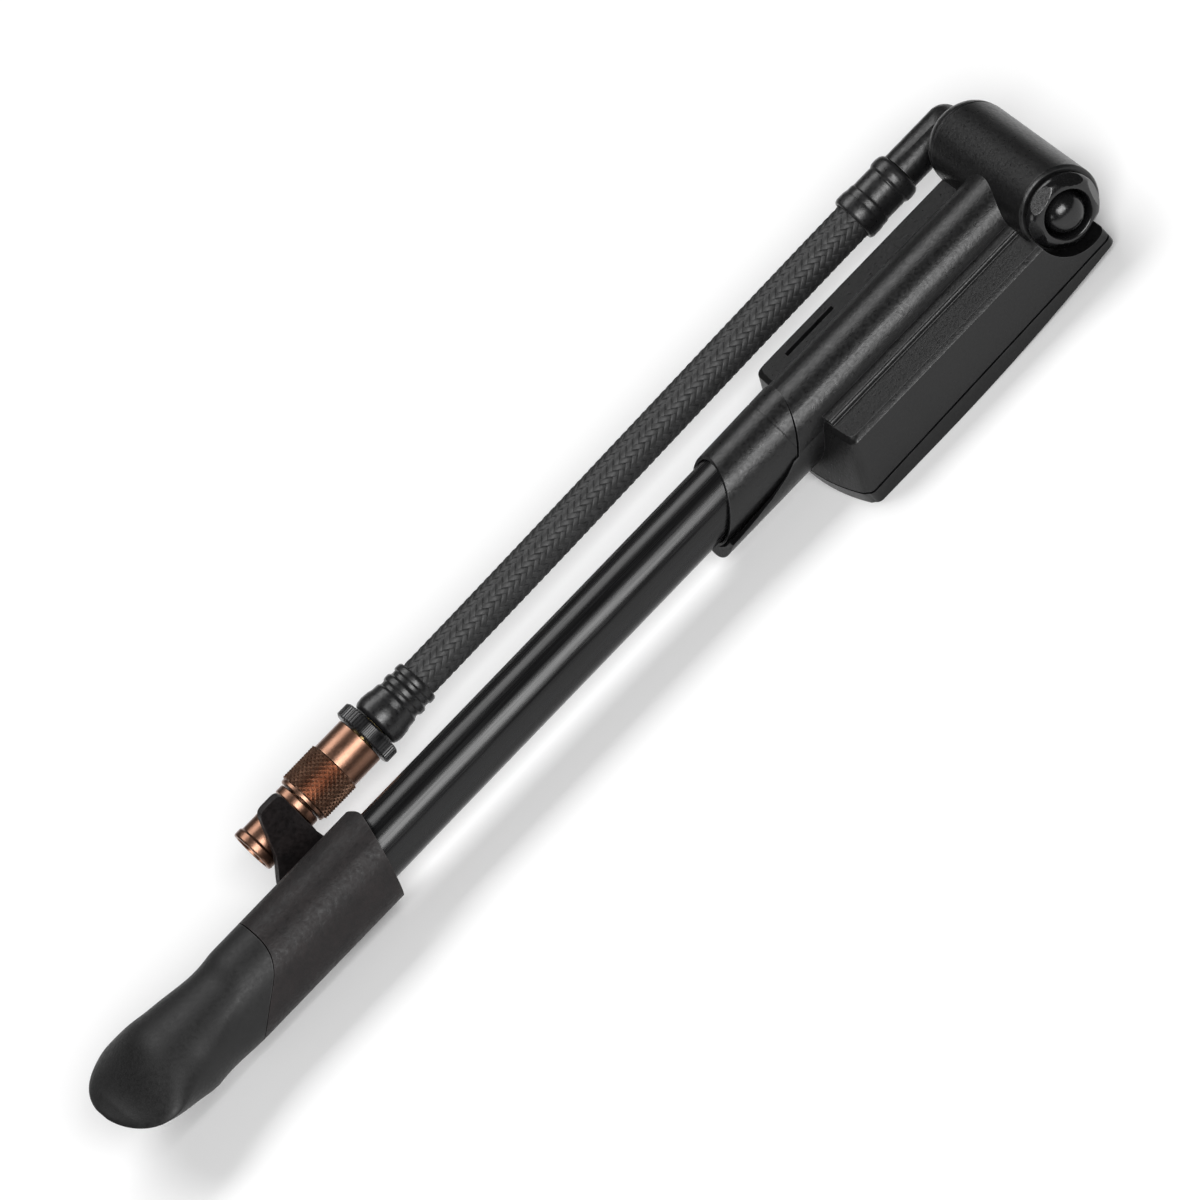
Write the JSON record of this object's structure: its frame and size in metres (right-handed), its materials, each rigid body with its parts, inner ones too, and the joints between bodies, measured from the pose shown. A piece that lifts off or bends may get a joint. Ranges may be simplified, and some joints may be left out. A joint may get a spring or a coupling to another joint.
{
  "type": "suspension pump",
  "caption": "Hand-held high-pressure pump: a gauge head with a bleed button, a sliding flared handle and a swinging braided hose with a threaded valve chuck.",
  "frame": {"origin": "centre of the pump's box at its lowest face, which is the display side it lies on", "axes": "+X along the barrel from the handle to the gauge head, +Y towards the hose, +Z from the display side to the back"},
  "size_m": [0.2616, 0.0544, 0.0248],
  "materials": {
    "handle_plastic": "moulded plastic, smooth matt",
    "grip_plastic": "moulded plastic, fine rough grain",
    "housing_plastic": "moulded glass-filled plastic, satin",
    "cover_plastic": "moulded plastic, satin",
    "anodised_black": "black anodised tube, satin",
    "black_metal": "turned aluminium, gloss black anodised",
    "copper_metal": "turned aluminium, copper-coloured anodised, bright",
    "brass": "plain turned brass",
    "steel": "plain steel",
    "spring_steel": "drawn spring wire",
    "rubber": "moulded rubber",
    "braided_hose": "rubber hose under a woven dark cover",
    "window_glass": "clear, polished",
    "lcd": "grey-green display glass, blank",
    "circuit_board": "green solder mask",
    "nickel": "nickel plated can"
  },
  "bodies": {
    "head": {"rear_housing": "housing_plastic", "front_cover": "cover_plastic", "barrel_collar": "housing_plastic", "barrel_tube": "anodised_black", "barrel_guide": "handle_plastic", "rod_seal": "rubber", "valve_spring": "spring_steel", "pressure_sensor": "steel", "circuit_board": "circuit_board", "board_screw_1": "steel", "board_screw_2": "steel", "board_screw_3": "steel", "board_screw_4": "steel", "coin_battery": "nickel", "display_panel": "lcd", "display_window": "window_glass", "bleed_nut": "black_metal", "bleed_spring": "spring_steel"},
    "handle": {"handle_end": "handle_plastic", "handle_grip": "grip_plastic", "piston_rod": "steel", "rod_pin": "steel", "piston": "brass", "piston_seal": "rubber", "piston_nut": "steel"},
    "hose_arm": {"hose_elbow": "housing_plastic", "elbow_seal_1": "rubber", "elbow_seal_2": "rubber", "upper_ferrule": "black_metal", "hose": "braided_hose", "lower_ferrule": "black_metal", "chuck_stem": "brass"},
    "chuck": {"chuck_nose": "copper_metal", "knurled_sleeve": "copper_metal", "chuck_seal": "rubber"},
    "lock": {"lock_ring": "black_metal"},
    "pin": {"depressor_pin": "steel"},
    "bleed": {"bleed_button": "black_metal", "bleed_seal": "rubber"},
    "mode": {"mode_button": "rubber"},
    "valve": {"valve_ball": "steel"}
  },
  "joints": [
    {"name": "handle_slide", "type": "slide", "parent": "head", "child": "handle", "axis": [-1, 0, 0], "range_m": [0, 0.1]},
    {"name": "hose_swing", "type": "hinge", "parent": "head", "child": "hose_arm", "pos_m": [0.1219, 0.0221, 0.0146], "axis": [0, 1, 0], "range_deg": [0, 330]},
    {"name": "chuck_spin", "type": "hinge", "parent": "hose_arm", "child": "chuck", "pos_m": [-0.0592, 0.02, 0.0146], "axis": [1, 0, 0], "continuous": true},
    {"name": "lock_ring_turn", "type": "hinge", "parent": "hose_arm", "child": "lock", "pos_m": [-0.0408, 0.02, 0.0146], "axis": [1, 0, 0], "range_deg": [0, 180]},
    {"name": "pin_push", "type": "slide", "parent": "hose_arm", "child": "pin", "axis": [-1, 0, 0], "range_m": [0, 0.0015]},
    {"name": "bleed_press", "type": "slide", "parent": "head", "child": "bleed", "axis": [0, 1, 0], "range_m": [0, 0.0015], "stiffness_N_per_m": 600, "deforming": ["bleed_spring"]},
    {"name": "mode_press", "type": "slide", "parent": "head", "child": "mode", "axis": [0, 0, 1], "range_m": [0, 0.0005], "stiffness_N_per_m": 800},
    {"name": "valve_lift", "type": "slide", "parent": "head", "child": "valve", "axis": [1, 0, 0], "range_m": [0, 0.0006], "stiffness_N_per_m": 100, "deforming": ["valve_spring"]}
  ],
  "couplings": [
    {"joint": "pin_push", "follows": "lock_ring_turn", "m_per_rad": 0.000477}
  ]
}
